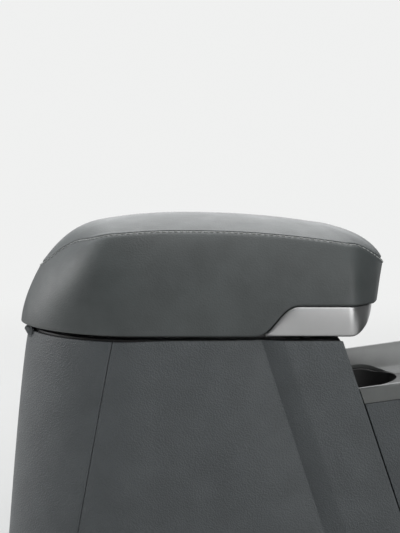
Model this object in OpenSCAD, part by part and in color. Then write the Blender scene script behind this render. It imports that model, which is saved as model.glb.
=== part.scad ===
// Car centre console: a storage bin with a padded, hinged armrest lid, and a low deck
// in front of it with two cup wells and a tray.
// +X points to the front of the car, +Y to its left side and +Z up.
// The origin is on the floor, under the middle of the console.

/* [Console body] */
// Overall length at the floor
console_l = 640; // [620:1:700]
// Height of the rim that the lid closes on
rim_h = 250; // [240:1:270]
// How far each side leans out between the rim and the floor
side_draft = 4; // [2:0.5:7]
// How far the rear cover leans out between the rim and the floor
rear_lean = 27; // [18:1:34]
// Wall thickness of the panels and covers
wall_t = 3; // [2.5:0.1:3.5]
// Depth of the fold pressed into each side panel
fold_d = 6; // [3:0.5:8]
// Gap between neighbouring panels
part_gap = 0.8; // [0.5:0.1:1.5]

/* [Lid] */
// From the lid's reference station back to its rear end
lid_back = 179; // [174:1:184]
// From the lid's reference station forward to its front end
lid_front = 174; // [170:1:178]
// Width of the lid
lid_w = 210; // [204:1:220]
// Height of the lid's crown over its lower edge
lid_h = 108; // [100:1:114]
// Black gap between the rim and the lid
lid_gap = 3.6; // [3.2:0.1:4.2]
// Length of the rounded rear end
nose_l = 137; // [125:1:145]
// How far the middle of the front stands ahead of its corners
front_bow = 16.7; // [12:0.1:20]
// Radius of the lid's front corners in plan
corner_r = 12; // [9:0.5:16]
// Thickness of the leather
skin_t = 2; // [1.6:0.1:2.6]
// How far the lid overhangs the body at the rear
rear_overhang = 8; // [7:0.5:11]
// How far each side of the body stands back from the lid
side_step = 1; // [0.5:0.1:2]

/* [Front trim] */
// Height of the metal-look trim
trim_h = 29; // [25:0.5:31]
// Thickness of the trim
trim_t = 2.5; // [2:0.1:3]
// Where the trim's slanted end meets the lid's lower edge
trim_start = 58; // [50:1:66]
// Length of that slanted end
trim_slant = 24; // [20:1:30]

/* [Storage bin] */
// Distance from the lid's side in to the inside of the bin
bin_side = 27; // [25:0.5:31]
// Depth of the bin under the rim
bin_depth = 176; // [150:1:190]
// Wall thickness of the bin
bin_t = 2.7; // [2.2:0.1:3.2]

/* [Deck] */
// Drop from the rim to the rail's crest behind the cup wells
rail_drop = 42; // [38:1:48]
// Upward pitch of the deck towards the front
deck_pitch = 8.1; // [6:0.1:10]
// Depth of the deck's floor below the rails
floor_drop = 24; // [20:1:28]
// Width of each rail together with its slope
rail_w = 39; // [36:1:41]
// Inside radius of a cup well
cup_r = 37; // [35:0.5:38]
// Depth of a cup well under the deck's floor
cup_depth = 62; // [50:1:75]
// Distance from the edge of the deck's floor in to the tray
tray_side = 16; // [14:1:22]
// From the tray's front end to the front of the console
tray_end = 54; // [46:1:80]
// Depth of the tray
tray_depth = 30; // [24:1:40]

/* [Hinge and latch] */
// Width of the hinge
hinge_w = 60; // [50:1:66]
// Radius of the hinge pin
hinge_pin_r = 1.6; // [1.4:0.1:1.9]
// Radius of the latch pin
latch_pin_r = 2; // [1.8:0.1:2.4]
// Running clearance round the pins
pin_fit = 0.05; // [0.03:0.01:0.08]
// Width of the latch paddle
paddle_w = 60; // [50:1:70]

/* [Floor mounts] */
// Radius of the floor bolt holes
bolt_r = 4.25; // [3.5:0.25:5]
// From the front of the console back to the front row of bolts
bolt_end = 123; // [103:1:153]
// Distance between the bolts of one row
bolt_dy = 120; // [100:1:130]

/* [Hidden] */
$fn = 48;

// Small clearance between pieces of different bodies and round soft ones
seat = 0.3;
eps = 0.01;

// Stations measured from the lid's reference station
body_back = lid_back - rear_overhang;
rear_reach = body_back + rear_lean;
lid_x = rear_reach - console_l / 2;
nose_x = nose_l - lid_back;
front_x = console_l - rear_reach;
lid_z = rim_h + lid_gap;
body_hw = lid_w / 2 - side_step;

// Storage bin
bin_w = lid_w - 2 * bin_side;
bin_x0 = 30 - body_back;
bin_x1 = 90;
bin_rear_r = 50;
bin_front_r = 14;
flange_t = 3;
surround_t = 3.5;
bin_top = rim_h - surround_t;
bin_floor = rim_h - bin_depth;

// Inner structure
web_y = bin_w / 2 + bin_t + 3.3;
web_t = 3;
web_x0 = 66 - body_back;
cross_x = bin_x1 + bin_t + seat;
cross_t = 3;
upstand_x = 121;
upstand_t = 3;
pad_t = 4;
pad_l = 60;
bolt_x0 = web_x0 + 24;
bolt_dx = front_x - bolt_end - bolt_x0;

// Deck, with its rails' crest through crest_x at crest_z
crest_x = 164;
crest_z = rim_h - rail_drop;
rail_top_w = 4;
rail_r = 3;
rail_side_h = 14;
floor_w = lid_w - 2 * rail_w;
cup_x = 168;
cup_wall = 1.7;
cup_y = cup_r + 2.5;
cup_hole_r = cup_r + 2;
tray_x0 = 212;
tray_l = front_x - tray_x0 - tray_end;
tray_w = floor_w - 2 * tray_side;
front_corner_r = 20;

// Side panels, with the slopes of their edges in X for each millimetre down
part_u = [0.83, 0.66];
fold_x = 56;
fold_slope = 0.44;
fold_rise_l = 20.5;
fold_run_l = 90;
edge_x = 130.5;
edge_slope = 0.34;
tower_r = 5;
screw_r = 1.9;

// Hinge
hinge_x = 3 - body_back;
barrel_r = lid_gap;
knuckles = 5;
knuckle_gap = 0.3;
leaf_t = 2;
leaf_l = 50;
notch_w = hinge_w + 8;

// Latch, in the lid's own heights over its lower edge
latch_x = 114;
latch_z = 11;
ear_t = 3;
arm_t = 6;
arm_w = 16;
nose_z = -13;
nose_reach = 7;
wire_r = 1.25;
wire_w = 30;
spring_turns = 4;
spring_wire = 0.6;

function mix(a, b, t) = a + (b - a) * t;
function limit(t) = min(1, max(0, t));
function ease(t) = let (c = limit(t)) c * c * (3 - 2 * c);
function unit(v) = v / norm(v);
function curve(p, t) =
    p[0] * pow(1 - t, 3) + 3 * p[1] * t * pow(1 - t, 2)
    + 3 * p[2] * t * t * (1 - t) + p[3] * pow(t, 3);
function curve_dir(p, t) =
    unit((p[1] - p[0]) * pow(1 - t, 2) + 2 * (p[2] - p[1]) * t * (1 - t)
    + (p[3] - p[2]) * t * t);

// Half of the rounded rear end in plan, from its middle to the right side
function nose(back, half_w) =
    [[-back, 0], [-back, -0.37 * half_w],
     [nose_x - 0.62 * (back + nose_x), -1.06 * half_w], [nose_x, -half_w]];

// Triangles of a grid of points; wrap joins the last column to the first one
function grid_faces(rows, cols, first, wrap, flip) =
    let (last = wrap ? cols - 1 : cols - 2)
    [for (r = [0 : rows - 2], c = [0 : last])
        let (a = first + r * cols + c, b = first + r * cols + (c + 1) % cols)
        each flip
            ? [[a, b, b + cols], [a, b + cols, a + cols]]
            : [[a, b + cols, b], [a, a + cols, b + cols]]];

// Triangles across a closed row that is its own mirror image in Y
function bridge_faces(cols, first, flip) =
    let (half = cols / 2)
    [for (i = [0 : half - 1])
        let (a = first + i, b = first + i + 1,
             c = first + (cols - i) % cols, d = first + cols - i - 1)
        each [
            if (a != c) flip ? [a, c, b] : [a, b, c],
            if (b != d) flip ? [b, c, d] : [b, d, c]
        ]];

function flat(grid) = [for (row = grid) each row];

// Closed shell between two open grids of the same size
module open_shell(outer, inner) {
    rows = len(outer);
    cols = len(outer[0]);
    n = rows * cols;
    top = (rows - 1) * cols;
    polyhedron(
        points = concat(flat(outer), flat(inner)),
        faces = concat(
            grid_faces(rows, cols, 0, false, false),
            grid_faces(rows, cols, n, false, true),
            [for (c = [0 : cols - 2]) each [
                [c, c + 1, n + c + 1], [c, n + c + 1, n + c],
                [top + c, n + top + c + 1, top + c + 1],
                [top + c, n + top + c, n + top + c + 1]]],
            [for (r = [0 : rows - 2])
                let (a = r * cols, b = a + cols - 1) each [
                [a, n + a, n + a + cols], [a, n + a + cols, a + cols],
                [b, n + b + cols, n + b], [b, b + cols, n + b + cols]]]));
}

// Closed solid of rows that go all the way round, bridged at its top and bottom
module ring_solid(rings) {
    rows = len(rings);
    cols = len(rings[0]);
    polyhedron(
        points = flat(rings),
        faces = concat(
            grid_faces(rows, cols, 0, true, false),
            bridge_faces(cols, 0, false),
            bridge_faces(cols, (rows - 1) * cols, true)));
}

// Shell of two such grids: a dome open at its lower edge, or a band open at both edges
module ring_shell(outer, inner, dome) {
    rows = len(outer);
    cols = len(outer[0]);
    n = rows * cols;
    top = (rows - 1) * cols;
    polyhedron(
        points = concat(flat(outer), flat(inner)),
        faces = concat(
            grid_faces(rows, cols, 0, true, false),
            grid_faces(rows, cols, n, true, true),
            dome ? bridge_faces(cols, top, true) : [],
            dome ? bridge_faces(cols, n + top, false) : [],
            [for (c = [0 : cols - 1]) let (d = (c + 1) % cols) each [
                [c, d, n + d], [c, n + d, n + c],
                if (!dome) [top + c, n + top + d, top + d],
                if (!dome) [top + c, n + top + c, n + top + d]]]));
}

// Lid surface
// Columns of points run round the lid, from the middle of the rear along the right side
nose_steps = 10;
corner_steps = 4;
bow_steps = 5;
trim_full = trim_start + trim_slant;
side_x = [for (f = [0.33, 0.67, 1]) mix(nose_x, trim_start, f), trim_start + 4,
          trim_start + 0.6 * trim_slant, trim_full, (trim_full + 130) / 2];
// Right half of a plan with a rounded rear end, straight sides and a bowed front
function lid_plan(back, front, half, r, bow) =
    let (a = atan(2 * bow / (half - r * 0.68)),
         x1 = front - bow - r * cos(a),
         y1 = half - r + r * sin(a))
    concat(
        [for (i = [0 : nose_steps]) curve(nose(back, half), i / nose_steps)],
        [for (x = side_x) [x, -half]],
        [for (i = [0 : corner_steps])
            let (b = mix(90, a, i / corner_steps)) [x1 + r * cos(b), r - half - r * sin(b)]],
        [for (i = [1 : bow_steps])
            let (y = y1 * (1 - i / bow_steps)) [front - bow * pow(y / y1, 2), -y]]);
function whole(half) = concat(half, [for (i = [len(half) - 2 : -1 : 1]) [half[i][0], -half[i][1]]]);
function inward(loop) =
    let (n = len(loop))
    [for (i = [0 : n - 1])
        let (t = unit(loop[(i + 1) % n] - loop[(i + n - 1) % n])) [-t[1], t[0]]];
// Lower edge, and the knee where the wall meets the top
knee_side = 17;
knee_rear = 22;
knee_ahead = 9;
half_edge = lid_plan(lid_back, lid_front, lid_w / 2, corner_r, front_bow);
half_knee = lid_plan(lid_back - knee_rear, lid_front + knee_ahead, lid_w / 2 - knee_side,
                     corner_r + 14, front_bow + 2);
half_n = len(half_edge) - 1;
lid_cols = 2 * half_n;
lid_edge = whole(half_edge);
lid_knee = whole(half_knee);
lid_in = inward(lid_edge);
knee_in = inward(lid_knee);

// Crown line, highest a little behind the reference station
crown_x = -20;
spine_x0 = -100;
spine_x1 = 105;
function crest(x) =
    x < crown_x
        ? lid_h - 7.1 * pow((crown_x - x) / 80, 2)
        : lid_h - 8.3 * pow((x - crown_x) / 125, 2.2);

// How far a column belongs to the front face or to the rear end
front_part = [for (n = knee_in) ease(max(0, -n[0]) * 1.05)];
rear_part = [for (p = lid_edge) ease((-90 - p[0]) / (lid_back - 90))];
front_fall_x = 140;
knee_front_z = 0.574 * lid_h;
knee_rear_z = 0.556 * lid_h;
knee_h = [for (i = [0 : lid_cols - 1])
    let (x = lid_knee[i][0])
    mix(mix(0.875 * crest(min(x, front_fall_x)), knee_front_z,
            ease((x - front_fall_x) / (lid_front + knee_ahead - front_fall_x))),
        knee_rear_z, rear_part[i])];
function knee_z(i) = knee_h[i];

// Point of the lid's surface in column i: t runs 0 to 1 up the wall and 1 to 2 over the top
function lid_point(i, t, g) =
    let (u = min(t, 1),
         f = max(0, t - 1),
         across = mix(mix(pow(u, 5), u, front_part[i]), pow(u, 1.6), rear_part[i]),
         swell = 1.5 * sin(180 * u) * (1 - rear_part[i]),
         foot = lid_edge[i] + lid_in[i] * (g - swell),
         wall = mix(foot, lid_knee[i] + knee_in[i] * g, across),
         knee = knee_z(i) - g * 0.8,
         x = min(spine_x1, max(spine_x0, wall[0])),
         rise = pow(1 - pow(1 - f, 1.9), 1 / (1 + 0.6 * front_part[i])))
    t <= 1
        ? [wall[0], wall[1], t * knee]
        : [mix(wall[0], x, f), wall[1] * (1 - f), mix(knee, crest(x) - g, rise)];

// Seam between the top cover and the side band, which rides highest over the rear corners
seam_rise = 0.06;
function seam_t(i) =
    let (x = lid_edge[i][0] + lid_back)
    1 + seam_rise * (1 - ease((x - lid_back - 140) / 34))
    + 0.22 * exp(-pow((x - 37) / 30, 2)) - 0.12 * (1 - ease(x / 19));
// Lower edge of the side band, which rises over the slanted end of the trim
function hem_z(x) = trim_h * limit((x - trim_start) / trim_slant);
function hem_t(i) = max(0.4, hem_z(lid_edge[i][0]) + 0.4) / knee_z(i);
top_rows = 8;
band_rows = 6;
top_end = 1.94;

module lid_place() translate([lid_x, 0, lid_z]) children();
module body_place() translate([lid_x, 0, 0]) children();

module lid_top_cover() {
    rings = function (g)
        [for (r = [0 : top_rows])
            [for (i = [0 : lid_cols - 1])
                lid_point(i, mix(seam_t(i) + 0.015, top_end, r / top_rows), g)]];
    color([0.36, 0.36, 0.35]) lid_place() ring_shell(rings(0), rings(skin_t), true);
}

module lid_side_band() {
    rows = function (g)
        [for (r = [0 : band_rows])
            [for (i = [0 : lid_cols - 1])
                lid_point(i, r < band_rows ? mix(hem_t(i), min(1, seam_t(i) - 0.02), r / (band_rows - 1))
                                           : seam_t(i) - 0.005, g)]];
    color([0.25, 0.26, 0.26]) lid_place() ring_shell(rows(0), rows(skin_t), false);
}

// How far the trim's face leans back under the leather at the front
function trim_lean(i, z) = front_part[i] * (4 + 0.29 * (trim_h - z));
module front_trim() {
    first = [for (i = [0 : half_n]) if (lid_edge[i][0] > trim_start + 2) i][0];
    rows = [0, 0.35, 0.7, 1];
    face = function (g)
        [for (r = rows)
            [for (i = [first : lid_cols - first])
                let (z = mix(0.3, hem_z(lid_edge[i][0]) - 0.2, r),
                     p = lid_point(i, z / knee_z(i), 0.8 + trim_lean(i, z) + g))
                [p[0], p[1], z]]];
    color([0.66, 0.66, 0.66]) lid_place() open_shell(face(0), face(trim_t));
}

// Soft filling of the lid, from the pan's top up to the leather
foam_z = trim_h + 1.2;
module lid_foam() {
    rows = 10;
    knee_row = 4;
    g = skin_t + 3 * seat;
    color([0.75, 0.73, 0.66]) lid_place()
        ring_solid([for (r = [0 : rows])
            [for (i = [0 : lid_cols - 1])
                let (d = g + 2 * seat * rear_part[i])
                lid_point(i, r < knee_row ? mix(foam_z / (knee_z(i) - d * 0.8), 1, r / knee_row)
                             : mix(1, top_end, (r - knee_row) / (rows - knee_row)), d)]]);
}

// Inset of the pan and the liner from the lid's surface
function pan_in(i) =
    mix(skin_t + seat, trim_t + 0.8 + 3 * seat, ease((lid_edge[i][0] - trim_start + 16) / 14))
    + 1.5 * rear_part[i];
function pan_ring(z, extra) =
    [for (i = [0 : lid_cols - 1])
        let (p = lid_point(i, z / knee_z(i), pan_in(i) + extra)) [p[0], p[1], z]];
// Keeps the pan and the liner behind the trim's leaning front
module behind_trim() {
    translate([0, 0, -1]) linear_extrude(lid_h)
        polygon(whole(lid_plan(lid_back + 5, lid_front - 19, lid_w / 2 + 5, 16, front_bow)));
}
liner_t = 2;
pan_wall = 3;
module pan_ears(w) {
    for (s = [-1, 1])
        translate([latch_x, s * (w / 2 + ear_t / 2 + seat), 0]) children();
}
module lid_pan() {
    top = foam_z - seat;
    low = liner_t + eps;
    notch = paddle_w + 3;
    color([0.12, 0.12, 0.12]) lid_place() difference() {
        intersection() {
            ring_solid([for (f = [0, 0.5, 1]) pan_ring(mix(low, top, f), 0)]);
            behind_trim();
        }
        translate([0, 0, -eps]) linear_extrude(top - pan_wall)
            polygon(whole(lid_plan(lid_back - 15, lid_front - 29, lid_w / 2 - 12, 8, front_bow)));
        translate([latch_x, -notch / 2, -1]) cube([2 * paddle_w, notch, latch_z + 5]);
    }
}

module screw_spots() {
    for (p = [[-60, 21], [40, 21], [130, 35]], s = [-1, 1])
        translate([p[0], s * (lid_w / 2 - p[1]), 0]) children();
}

// Underside of the lid, with the ears that carry the latch
module lid_liner() {
    slot_l = paddle_w + 1.2;
    color([0.14, 0.14, 0.14]) lid_place() difference() {
        union() {
            intersection() {
                linear_extrude(liner_t) polygon([for (p = pan_ring(0, 0.4)) [p[0], p[1]]]);
                behind_trim();
            }
            pan_ears(paddle_w) {
                translate([-7, -ear_t / 2, liner_t - eps]) cube([14, ear_t, latch_z - liner_t + 1]);
                translate([0, ear_t / 2, latch_z]) rotate([90, 0, 0]) cylinder(r = 7, h = ear_t);
            }
        }
        pan_ears(paddle_w)
            translate([0, ear_t, latch_z]) rotate([90, 0, 0])
                cylinder(r = latch_pin_r + 0.02, h = 2 * ear_t);
        translate([latch_x - 17, -slot_l / 2, -1]) cube([80, slot_l, liner_t + 2]);
        screw_spots() translate([0, 0, -1]) cylinder(r = screw_r + 0.2, h = liner_t + 2);
    }
}

module liner_screws() {
    color([0.3, 0.3, 0.32]) lid_place() screw_spots() {
        translate([0, 0, -1.6]) cylinder(r = 3.6, h = 1.6);
        translate([0, 0, -eps]) cylinder(r = screw_r, h = liner_t + eps);
    }
}

module latch_pin() {
    l = paddle_w + 2 * ear_t + 2;
    color([0.7, 0.7, 0.72]) lid_place()
        translate([latch_x, l / 2, latch_z]) rotate([90, 0, 0]) cylinder(r = latch_pin_r, h = l);
}

// Finger plate, barrel and hook in one piece
module latch_paddle() {
    reach = 40;
    barrel = 5;
    hook_low = nose_z - 4;
    spring_l = spring_turns * 2 * spring_wire + 2;
    color([0.2, 0.2, 0.2]) lid_place() difference() {
        union() {
            translate([latch_x, paddle_w / 2, latch_z]) rotate([90, 0, 0])
                cylinder(r = barrel, h = paddle_w);
            translate([latch_x, paddle_w / 2, 0]) rotate([90, 0, 0]) linear_extrude(paddle_w)
                polygon([[0, latch_z - barrel + eps], [2, latch_z - barrel + 0.2],
                         [8, 3.5], [reach - 3, 0.5], [reach, 0.5], [reach, 3], [9, 6.5],
                         [4, latch_z + 1], [0, latch_z]]);
            translate([latch_x, arm_w / 2, 0]) rotate([90, 0, 0]) linear_extrude(arm_w)
                polygon([[-arm_t - 1, latch_z], [-1, latch_z], [-1, hook_low + 1], [-3, hook_low],
                         [-arm_t - 1, hook_low], [-arm_t - nose_reach - 1, nose_z - 0.6],
                         [-arm_t - nose_reach - 1, nose_z], [-arm_t - 1, nose_z]]);
        }
        translate([latch_x, paddle_w, latch_z]) rotate([90, 0, 0])
            cylinder(r = latch_pin_r + pin_fit, h = 2 * paddle_w);
        translate([latch_x - barrel - 1, paddle_w / 2 - spring_l, latch_z - barrel - 1])
            cube([barrel + 7, spring_l + 1, 2 * barrel + 2]);
    }
}

// Coil round the latch pin beside the barrel
module latch_spring() {
    sides = 6;
    steps = 10;
    r = latch_pin_r + spring_wire + 0.5;
    pitch = 2 * spring_wire + 0.15;
    n = steps * spring_turns;
    ring = function (k)
        let (a = 360 * k / steps)
        [for (j = [0 : sides - 1])
            let (b = 360 * j / sides, d = r + spring_wire * cos(b))
            [d * cos(a), k * pitch / steps + spring_wire * sin(b), d * sin(a)]];
    color([0.75, 0.75, 0.78]) lid_place()
        translate([latch_x, paddle_w / 2 - spring_turns * pitch - 0.4, latch_z])
            polyhedron(
                points = flat([for (k = [0 : n]) ring(k)]),
                faces = concat(
                    [for (k = [0 : n - 1], j = [0 : sides - 1])
                        let (a = k * sides + j, b = k * sides + (j + 1) % sides)
                        each [[a, b, b + sides], [a, b + sides, a + sides]]],
                    [[for (j = [sides - 1 : -1 : 0]) j]],
                    [[for (j = [0 : sides - 1]) n * sides + j]]));
}

// Hinge: the bracket has the outer and middle knuckles, and the leaf those between
module hinge_knuckles(moving) {
    pitch = hinge_w / knuckles;
    for (k = [0 : knuckles - 1])
        if ((k % 2 == 1) == moving)
            translate([hinge_x, (k + 1) * pitch - hinge_w / 2 - knuckle_gap / 2, rim_h])
                rotate([90, 0, 0]) children();
}
module knuckle_bore(r) {
    translate([hinge_x, hinge_w, rim_h]) rotate([90, 0, 0]) cylinder(r = r, h = 2 * hinge_w);
}
bracket_x = bin_x0 - bin_t;
module hinge_bracket() {
    pitch = hinge_w / knuckles;
    shelf_z = bin_top - flange_t - leaf_t;
    color([0.32, 0.32, 0.34]) body_place() difference() {
        union() {
            translate([bracket_x - leaf_t, -hinge_w / 2, shelf_z - 36])
                cube([leaf_t, hinge_w, 36 + leaf_t]);
            translate([hinge_x - barrel_r, -hinge_w / 2, shelf_z])
                cube([bracket_x - hinge_x + barrel_r, hinge_w, leaf_t]);
            hinge_knuckles(false) {
                cylinder(r = barrel_r, h = pitch - knuckle_gap);
                translate([-barrel_r, shelf_z - rim_h, 0])
                    cube([2 * barrel_r, rim_h - shelf_z, pitch - knuckle_gap]);
            }
        }
        knuckle_bore(hinge_pin_r + 0.02);
        hinge_screw_spots() cylinder(r = screw_r + 0.2, h = 12, center = true);
    }
}
module hinge_screw_spots() {
    for (s = [-1, 1], z = [12, 26])
        translate([bracket_x - leaf_t / 2, s * (hinge_w / 2 - 10), bin_top - flange_t - leaf_t - z])
            rotate([0, 90, 0]) children();
}
module hinge_screws() {
    color([0.7, 0.7, 0.72]) body_place() hinge_screw_spots() {
        translate([0, 0, -leaf_t / 2 - 1.8]) cylinder(r = 3.4, h = 1.8);
        translate([0, 0, -leaf_t / 2 - eps]) cylinder(r = screw_r, h = leaf_t + eps);
    }
}
module hinge_leaf() {
    pitch = hinge_w / knuckles;
    color([0.32, 0.32, 0.34]) body_place() difference() {
        union() {
            translate([hinge_x + barrel_r + 1, -hinge_w / 2, lid_z - leaf_t])
                cube([leaf_l, hinge_w, leaf_t]);
            hinge_knuckles(true) {
                cylinder(r = barrel_r, h = pitch - knuckle_gap);
                translate([0, barrel_r - leaf_t, 0])
                    cube([barrel_r + 2, leaf_t, pitch - knuckle_gap]);
            }
        }
        knuckle_bore(hinge_pin_r + pin_fit);
    }
}
module hinge_pin() {
    l = hinge_w + 3;
    color([0.75, 0.75, 0.77]) body_place()
        translate([hinge_x, l / 2, rim_h]) rotate([90, 0, 0]) cylinder(r = hinge_pin_r, h = l);
}

// Spring-wire loop on the bin's front wall that the hook snaps under
catch_z = lid_z + nose_z + wire_r + 0.35;
catch_x = latch_x - 1 - arm_t - nose_reach + 2.6;
module catch_spring() {
    leg = 24;
    color([0.75, 0.75, 0.78]) body_place() union() {
        translate([catch_x, wire_w / 2, catch_z]) rotate([90, 0, 0]) cylinder(r = wire_r, h = wire_w);
        for (s = [-1, 1]) {
            translate([catch_x, s * wire_w / 2, catch_z]) sphere(r = wire_r);
            translate([catch_x, s * wire_w / 2, catch_z - leg]) cylinder(r = wire_r, h = leg);
        }
    }
}

// Body surface
function half_w(z) = body_hw + side_draft * (1 - z / rim_h);
function back(z) = body_back + rear_lean * (1 - z / rim_h);
function part_at(z) = mix(part_u[0], part_u[1], 1 - z / rim_h);
// Point on the rounded rear end at curve value u, moved inwards by g
function nose_point(u, z, g) =
    let (c = nose(back(z), half_w(z)), p = curve(c, u), d = curve_dir(c, u))
    [p[0] - d[1] * g, p[1] + d[0] * g, z];
function fold(x, z) =
    let (u = x - fold_x - fold_slope * (rim_h - z),
         depth = fold_d * ease((z - 20) / 90))
    depth * (u < 0 ? pow(limit(1 + u / fold_run_l), 2) : 1 - ease(u / fold_rise_l));
wall_rows = [0, 25, 50, 75, 100, 130, 160, 190, 220, 250] / 250;
// Top stations of the panel's columns, and how far each moves forward towards the floor
panel_cols = [
    [nose_x + 20, 0.1], [0, 0.25], [20, 0.36], [38, 0.42], [fold_x - 6, fold_slope],
    [fold_x, fold_slope], [fold_x + 5, fold_slope], [fold_x + 10, fold_slope],
    [fold_x + 15, fold_slope], [fold_x + fold_rise_l, fold_slope], [edge_x - 24, 0.38],
    [edge_x, edge_slope]
];
part_steps = 4;
function panel_row(z, g) = concat(
    [for (i = [0 : part_steps]) nose_point(mix(part_at(z), 1, i / part_steps), z, g)],
    [for (c = panel_cols) let (x = c[0] + c[1] * (rim_h - z)) [x, fold(x, z) - half_w(z) + g, z]]);
tower_spots = [[-50, 0.24], [-50, 0.8], [20, 0.12], [108, 0.86], [150, 0.24]];
module panel_towers() {
    for (p = tower_spots)
        let ($reach = half_w(p[1] * rim_h) - wall_t / 2)
            translate([p[0], 0, p[1] * rim_h]) rotate([90, 0, 0]) children();
}
module side_panel() {
    color([0.27, 0.28, 0.29]) body_place() difference() {
        union() {
            open_shell(
                [for (r = wall_rows) panel_row(r * rim_h, 0)],
                [for (r = wall_rows) panel_row(r * rim_h, wall_t)]);
            panel_towers() translate([0, 0, web_y + web_t])
                cylinder(r = tower_r, h = $reach - web_y - web_t);
        }
        panel_towers() cylinder(r = screw_r, h = web_y + web_t + 7);
    }
}
module side_panel_right() side_panel();
module side_panel_left() mirror([0, 1, 0]) side_panel();
module panel_screws() {
    color([0.7, 0.7, 0.72]) body_place() for (s = [0, 1]) mirror([0, s, 0])
        panel_towers() {
            translate([0, 0, web_y - 2]) cylinder(r = 3.4, h = 2);
            translate([0, 0, web_y - eps]) cylinder(r = screw_r - 0.02, h = web_t + 6);
        }
}

module rear_cover() {
    steps = 9;
    row = function (z, g) concat(
        [for (i = [-steps : 0])
            let (p = nose_point(-i / steps * (part_at(z) - 0.006), z, g)) [p[0], -p[1], z]],
        [for (i = [1 : steps]) nose_point(i / steps * (part_at(z) - 0.006), z, g)]);
    color([0.3, 0.31, 0.32]) body_place() difference() {
        open_shell(
            [for (r = wall_rows) row(r * rim_h, 0)],
            [for (r = wall_rows) row(r * rim_h, wall_t)]);
        translate([-body_back - 10, -notch_w / 2, rim_h - barrel_r - 6])
            cube([30, notch_w, 20]);
    }
}

// Deck
module on_deck() translate([crest_x, 0, crest_z]) rotate([0, -deck_pitch, 0]) children();
function crest_at(x) = crest_z + tan(deck_pitch) * (x - crest_x);
deck_hw = body_hw + 0.5;
slope_y = deck_hw - rail_r - rail_top_w;
// Section across the deck, from the outer edge of one rail to that of the other
function rail_line(g) = [
    [deck_hw - g, -rail_side_h], [deck_hw - g, -rail_r],
    [deck_hw - g - (rail_r - g) * 0.3, -g - (rail_r - g) * 0.3],
    [deck_hw - rail_r, -g], [slope_y + g * 0.3, -g],
    [floor_w / 2 + 6 + g * 0.3, 4 - floor_drop - g], [floor_w / 2 - 2, 0.6 - floor_drop - g],
    [floor_w / 2 - 10, -floor_drop - g]
];
// Depth of the sheet's underside below the rails' crest, on the slope at y
function sheet_low(y) =
    (wall_t + (floor_drop - 4) * (slope_y + 0.3 * wall_t - y) / (slope_y - floor_w / 2 - 6))
    / cos(deck_pitch);
function flip_line(l) = [for (i = [len(l) - 1 : -1 : 0]) [-l[i][0], l[i][1]]];
module deck_sheet() {
    outer = rail_line(0);
    inner = rail_line(wall_t);
    on_deck() translate([-80, 0, 0]) rotate([90, 0, 90]) linear_extrude(console_l)
        polygon(concat(outer, flip_line(outer),
            [for (p = inner) [-p[0], p[1]]], [for (i = [len(inner) - 1 : -1 : 0]) inner[i]]));
}
// Everything under the deck's sheet
module under_deck(g) {
    line = rail_line(wall_t + g);
    on_deck() translate([-80, 0, 0]) rotate([90, 0, 90]) linear_extrude(console_l)
        polygon(concat([[deck_hw - wall_t - g, -rim_h]], line, flip_line(line),
            [[wall_t + g - deck_hw, -rim_h]]));
}
function rounded_box(x0, x1, half, r0, r1) =
    let (n = 6) concat(
        [for (i = [0 : n]) let (a = 180 + 90 * i / n) [x0 + r0 + r0 * cos(a), r0 - half + r0 * sin(a)]],
        [for (i = [0 : n]) let (a = 270 + 90 * i / n) [x1 - r1 + r1 * cos(a), r1 - half + r1 * sin(a)]],
        [for (i = [0 : n]) let (a = 90 * i / n) [x1 - r1 + r1 * cos(a), half - r1 + r1 * sin(a)]],
        [for (i = [0 : n]) let (a = 90 + 90 * i / n) [x0 + r0 + r0 * cos(a), half - r0 + r0 * sin(a)]]);
module cup_spots() for (s = [-1, 1]) translate([cup_x, s * cup_y, 0]) children();
// Cut-out for the cup wells and the tray, grown by g
module well_shape(g) {
    cup_spots() cylinder(r = cup_hole_r + g, h = 2 * rim_h, center = true);
    translate([cup_x - 12, -14, -rim_h]) cube([60, 28, 2 * rim_h]);
    translate([0, 0, -rim_h]) linear_extrude(2 * rim_h)
        polygon(rounded_box(cup_x + 20 - g, tray_x0 + tray_l + g, tray_w / 2 + g, 6, 12));
}
// Keeps what lies between the upstand and the rounded front end
module deck_plan(x0, g) {
    translate([0, 0, -rim_h]) linear_extrude(3 * rim_h)
        polygon(rounded_box(x0, front_x - g, deck_hw - g + 0.5, 0.01, front_corner_r));
}
// Wall of thickness t round the front end
module deck_end(g, t) {
    difference() {
        deck_plan(front_x - 60, g);
        deck_plan(front_x - 70, g + t);
    }
}
// Everything between two heights over the rails' crest
module deck_slab(low, high) {
    on_deck() translate([-80, -rim_h, low]) cube([console_l, 2 * rim_h, high - low]);
}
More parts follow.
